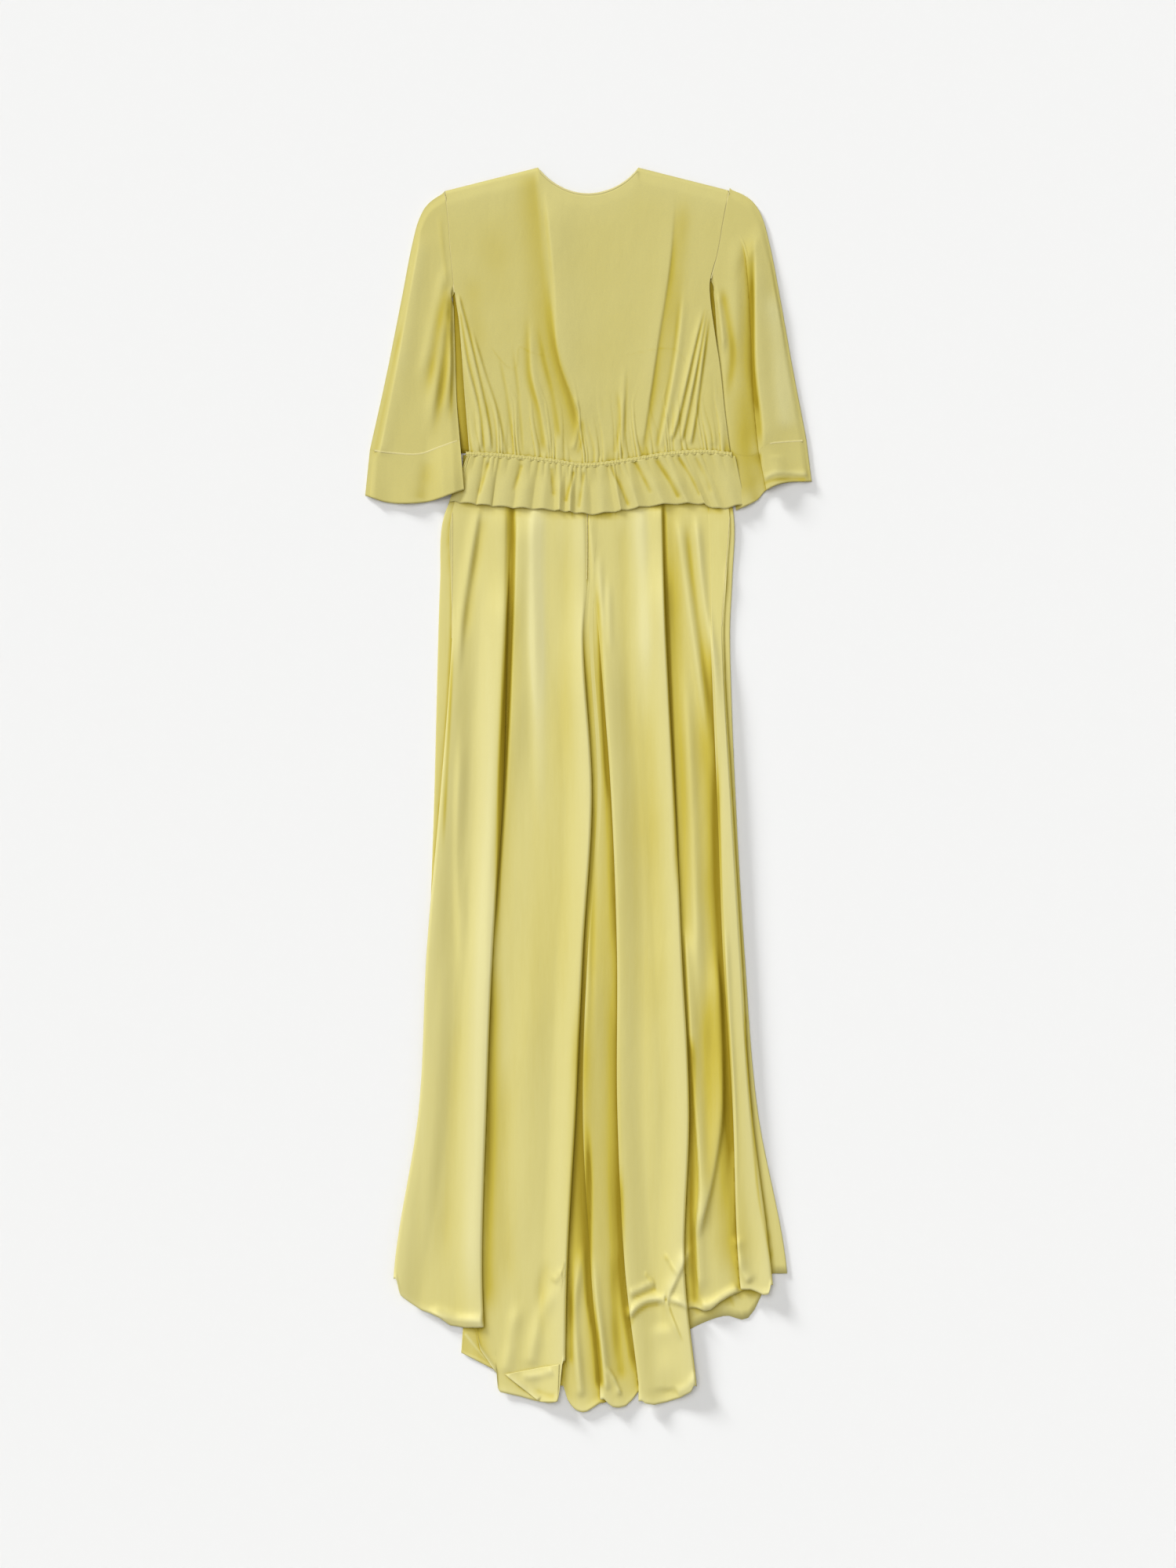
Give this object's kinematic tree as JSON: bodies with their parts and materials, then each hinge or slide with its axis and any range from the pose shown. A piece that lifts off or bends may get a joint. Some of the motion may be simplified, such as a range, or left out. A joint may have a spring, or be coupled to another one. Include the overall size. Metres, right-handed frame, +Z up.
{
  "type": "maxi dress",
  "caption": "Long yellow evening dress laid flat with its back up: satin skirt with long folds and a train, sheer gathered bodice, wide elbow sleeves and a waist ruffle.",
  "frame": {"origin": "on the surface the dress lies on, in the middle of its length and width", "axes": "+Z up from the surface, +Y along the dress towards the neck, +X across it to the right as seen from above, back side up"},
  "size_m": [0.57, 1.5868, 0.0165],
  "materials": {
    "satin": "satin with a soft sheen",
    "chiffon": "sheer, matt"
  },
  "bodies": {
    "root": {"skirt_front": "satin", "skirt_back_left": "satin", "skirt_back_right": "satin", "slip_bodice": "satin", "bodice_front_left": "chiffon", "bodice_front_right": "chiffon", "bodice_back": "chiffon", "sleeve_left": "chiffon", "sleeve_right": "chiffon", "flounce_left": "chiffon", "flounce_right": "chiffon", "ruffle_back": "chiffon", "ruffle_front": "chiffon", "waist_casing": "chiffon"}
  },
  "joints": []
}
